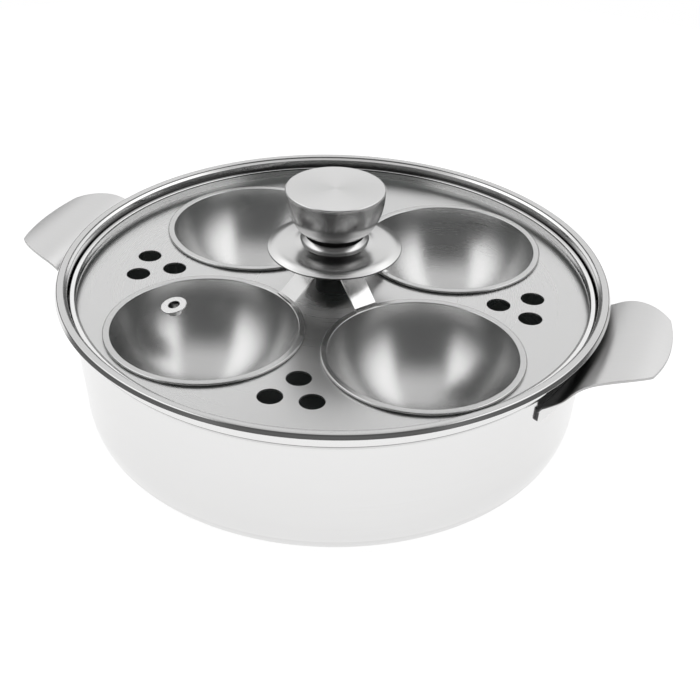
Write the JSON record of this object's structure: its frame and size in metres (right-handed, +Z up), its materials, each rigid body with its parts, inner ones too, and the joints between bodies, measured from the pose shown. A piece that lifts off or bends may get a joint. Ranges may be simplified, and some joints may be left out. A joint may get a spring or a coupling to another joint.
{
  "type": "egg poacher pan",
  "caption": "Round two-handled steel pan with a perforated tray of lift-out poaching cups under a nested glass lid with a knob.",
  "frame": {"origin": "centre of the pan's base, on the surface that it stands on", "axes": "+X along the two handles, towards the right handle; +Y across the handles; +Z up through the knob"},
  "size_m": [0.294, 0.2398, 0.1062],
  "materials": {
    "pan_steel": "polished stainless steel",
    "base_steel": "polished stainless steel",
    "base_aluminium": "plain, enclosed",
    "handle_steel": "satin stainless sheet",
    "tray_steel": "satin stainless sheet",
    "cup_steel": "spun stainless, bright rim",
    "tab_steel": "bright stainless strip",
    "band_steel": "polished rolled band",
    "knob_steel": "satin stainless, hollow",
    "small_steel": "plain stainless",
    "lid_glass": "clear tempered glass",
    "gasket_silicone": "grey silicone",
    "post_plastic": "black heat-proof plastic",
    "neck_plastic": "black spacer"
  },
  "bodies": {
    "pan": {"pan_shell": "pan_steel", "base_core": "base_aluminium", "base_cap": "base_steel", "handle_left": "handle_steel", "handle_right": "handle_steel"},
    "tray": {"tray_plate": "tray_steel", "tray_post": "post_plastic", "tray_post_screw": "small_steel"},
    "lid": {"lid_glass": "lid_glass", "lid_rim_band": "band_steel", "vent_eyelet": "small_steel", "knob_gasket": "gasket_silicone", "knob_flange": "knob_steel", "knob_collar": "knob_steel", "knob_neck": "neck_plastic", "knob_body": "knob_steel", "knob_cap": "knob_steel", "knob_insert": "small_steel", "lower_gasket": "gasket_silicone", "steel_washer": "small_steel", "knob_screw": "small_steel"},
    "cup_1": {"cup_1_bowl": "cup_steel", "cup_1_tab": "tab_steel"},
    "cup_2": {"cup_2_bowl": "cup_steel", "cup_2_tab": "tab_steel"},
    "cup_3": {"cup_3_bowl": "cup_steel", "cup_3_tab": "tab_steel"},
    "cup_4": {"cup_4_bowl": "cup_steel", "cup_4_tab": "tab_steel"}
  },
  "joints": [
    {"name": "tray_lift", "type": "slide", "parent": "pan", "child": "tray", "axis": [0, 0, 1], "range_m": [0, 0.06]},
    {"name": "lid_lift", "type": "slide", "parent": "tray", "child": "lid", "axis": [0, 0, 1], "range_m": [0, 0.1]},
    {"name": "cup_1_lift", "type": "slide", "parent": "tray", "child": "cup_1", "axis": [0, 0, 1], "range_m": [0, 0.04]},
    {"name": "cup_2_lift", "type": "slide", "parent": "tray", "child": "cup_2", "axis": [0, 0, 1], "range_m": [0, 0.04]},
    {"name": "cup_3_lift", "type": "slide", "parent": "tray", "child": "cup_3", "axis": [0, 0, 1], "range_m": [0, 0.04]},
    {"name": "cup_4_lift", "type": "slide", "parent": "tray", "child": "cup_4", "axis": [0, 0, 1], "range_m": [0, 0.04]}
  ],
  "couplings": [
    {"joint": "cup_1_lift", "follows": "lid_lift", "ratio": 0.4},
    {"joint": "cup_2_lift", "follows": "lid_lift", "ratio": 0.4},
    {"joint": "cup_3_lift", "follows": "lid_lift", "ratio": 0.4},
    {"joint": "cup_4_lift", "follows": "lid_lift", "ratio": 0.4}
  ]
}
